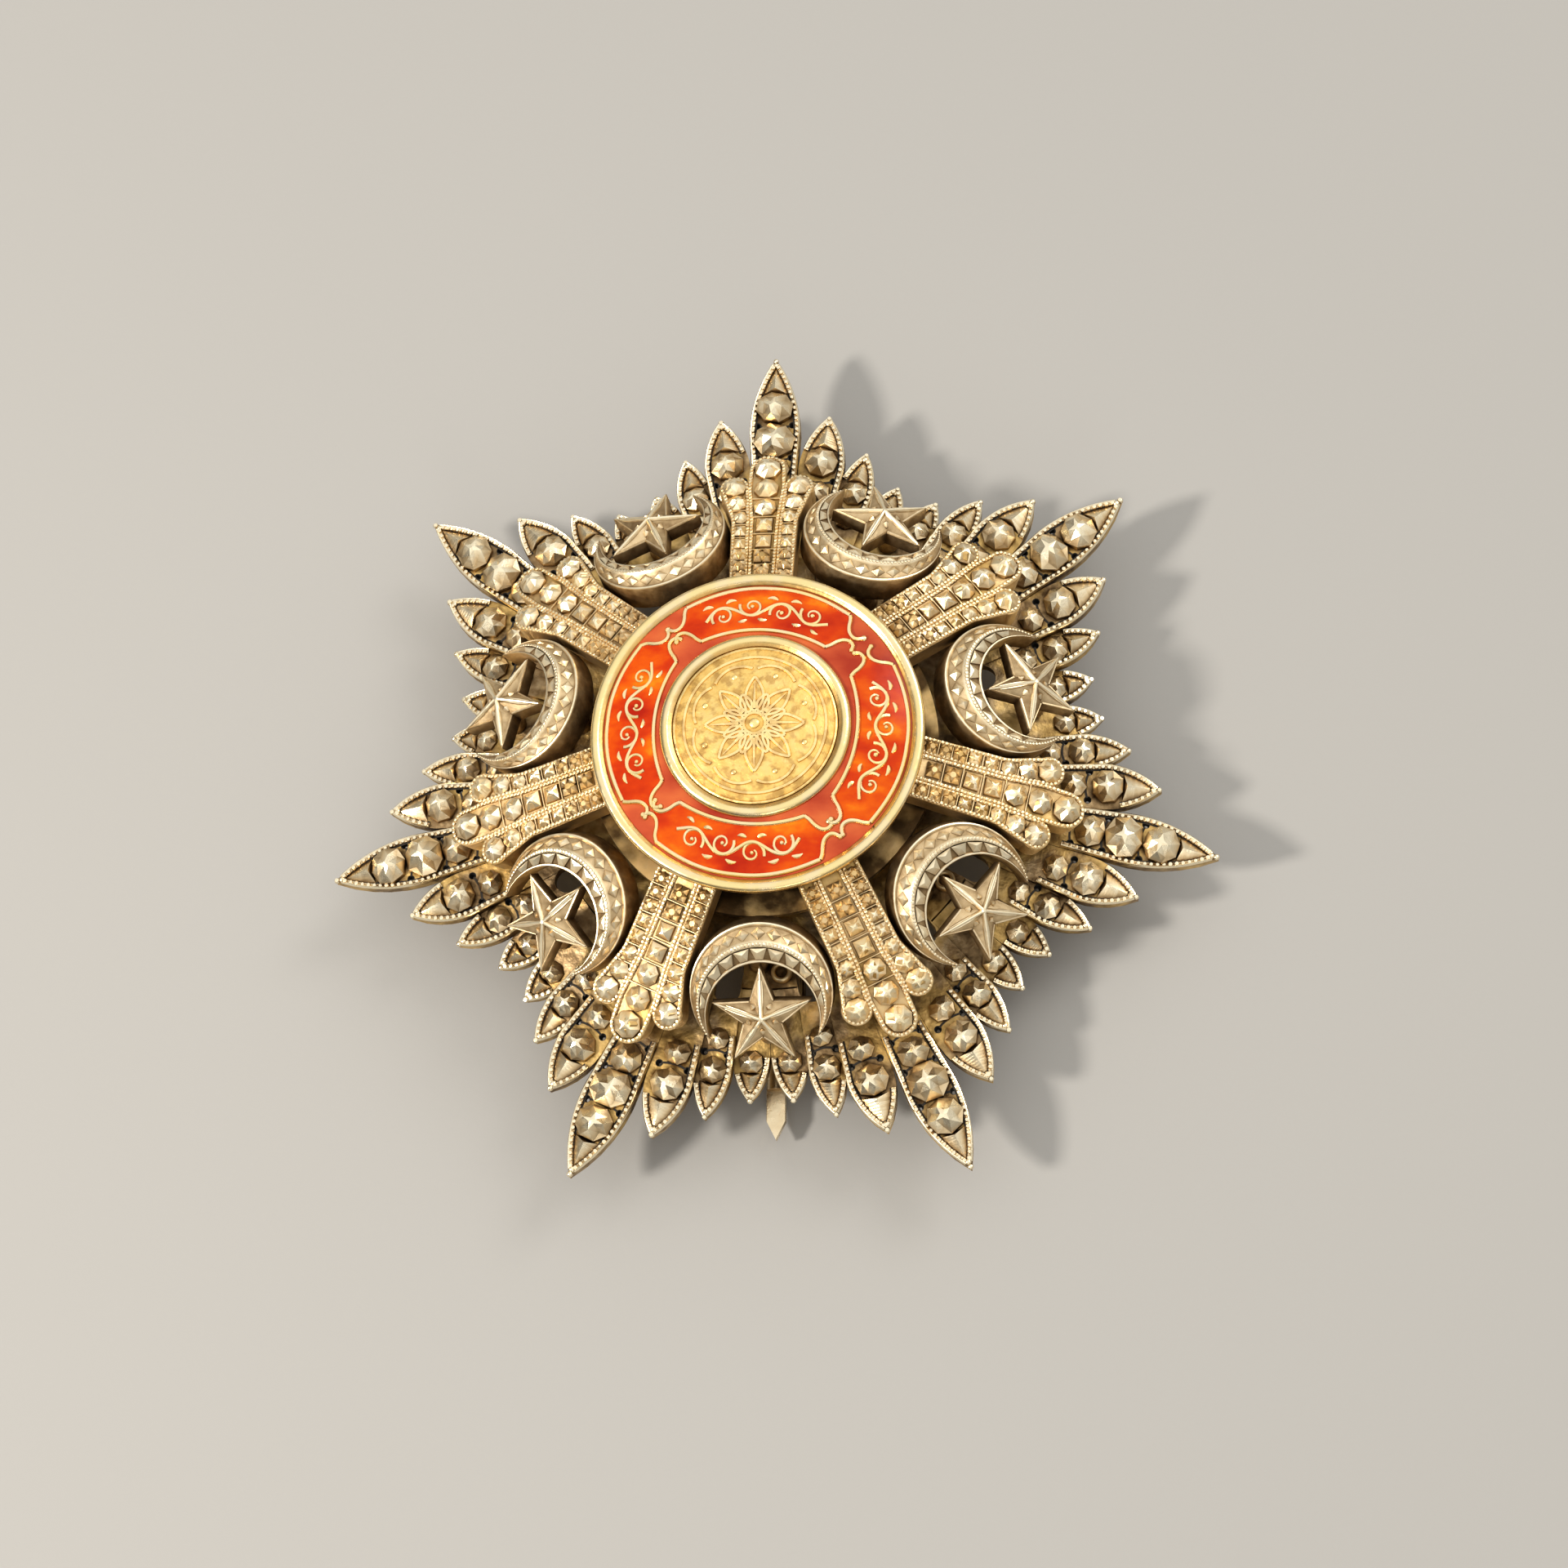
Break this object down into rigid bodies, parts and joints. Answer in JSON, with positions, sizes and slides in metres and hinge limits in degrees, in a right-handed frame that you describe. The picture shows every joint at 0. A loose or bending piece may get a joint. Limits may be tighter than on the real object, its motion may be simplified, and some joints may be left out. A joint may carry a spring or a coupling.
{
  "type": "breast star",
  "caption": "Rayed breast star with stepped arms, crescents and small stars round a domed enamelled medallion, worn by a brooch pin on its back.",
  "frame": {"origin": "centre of the rayed plate's flat rear face", "axes": "+Z out of the worn front, +Y towards the ray with the pin hinge behind it, +X to the right seen from the front"},
  "size_m": [0.0878, 0.0855, 0.0232],
  "materials": {
    "silver": "cut facets, bright on the edges and darkened in the hollows",
    "gilt": "worn gilding over silver",
    "gold": "polished rims, mottled centre",
    "enamel_red": "glossy translucent enamel over metal",
    "enamel_orange": "glossy translucent enamel over metal"
  },
  "bodies": {
    "root": {"base_star": "silver", "collar": "gilt", "arm_1": "gilt", "arm_2": "gilt", "arm_3": "gilt", "arm_4": "gilt", "arm_5": "gilt", "arm_6": "gilt", "arm_7": "gilt", "crescent_1": "silver", "crescent_2": "silver", "crescent_3": "silver", "crescent_4": "silver", "crescent_5": "silver", "crescent_6": "silver", "crescent_7": "silver", "small_star_1": "silver", "small_star_2": "silver", "small_star_3": "silver", "small_star_4": "silver", "small_star_5": "silver", "small_star_6": "silver", "small_star_7": "silver", "eyelet_1": "gilt", "eyelet_2": "gilt", "eyelet_3": "gilt", "eyelet_4": "gilt", "eyelet_5": "gilt", "eyelet_6": "gilt", "eyelet_7": "gilt", "medallion_cup": "gold", "enamel_field": "enamel_red", "enamel_panel_1": "enamel_orange", "enamel_panel_2": "enamel_orange", "enamel_panel_3": "enamel_orange", "enamel_panel_4": "enamel_orange", "centre_disc": "gold", "brooch_pin": "silver"}
  },
  "joints": []
}
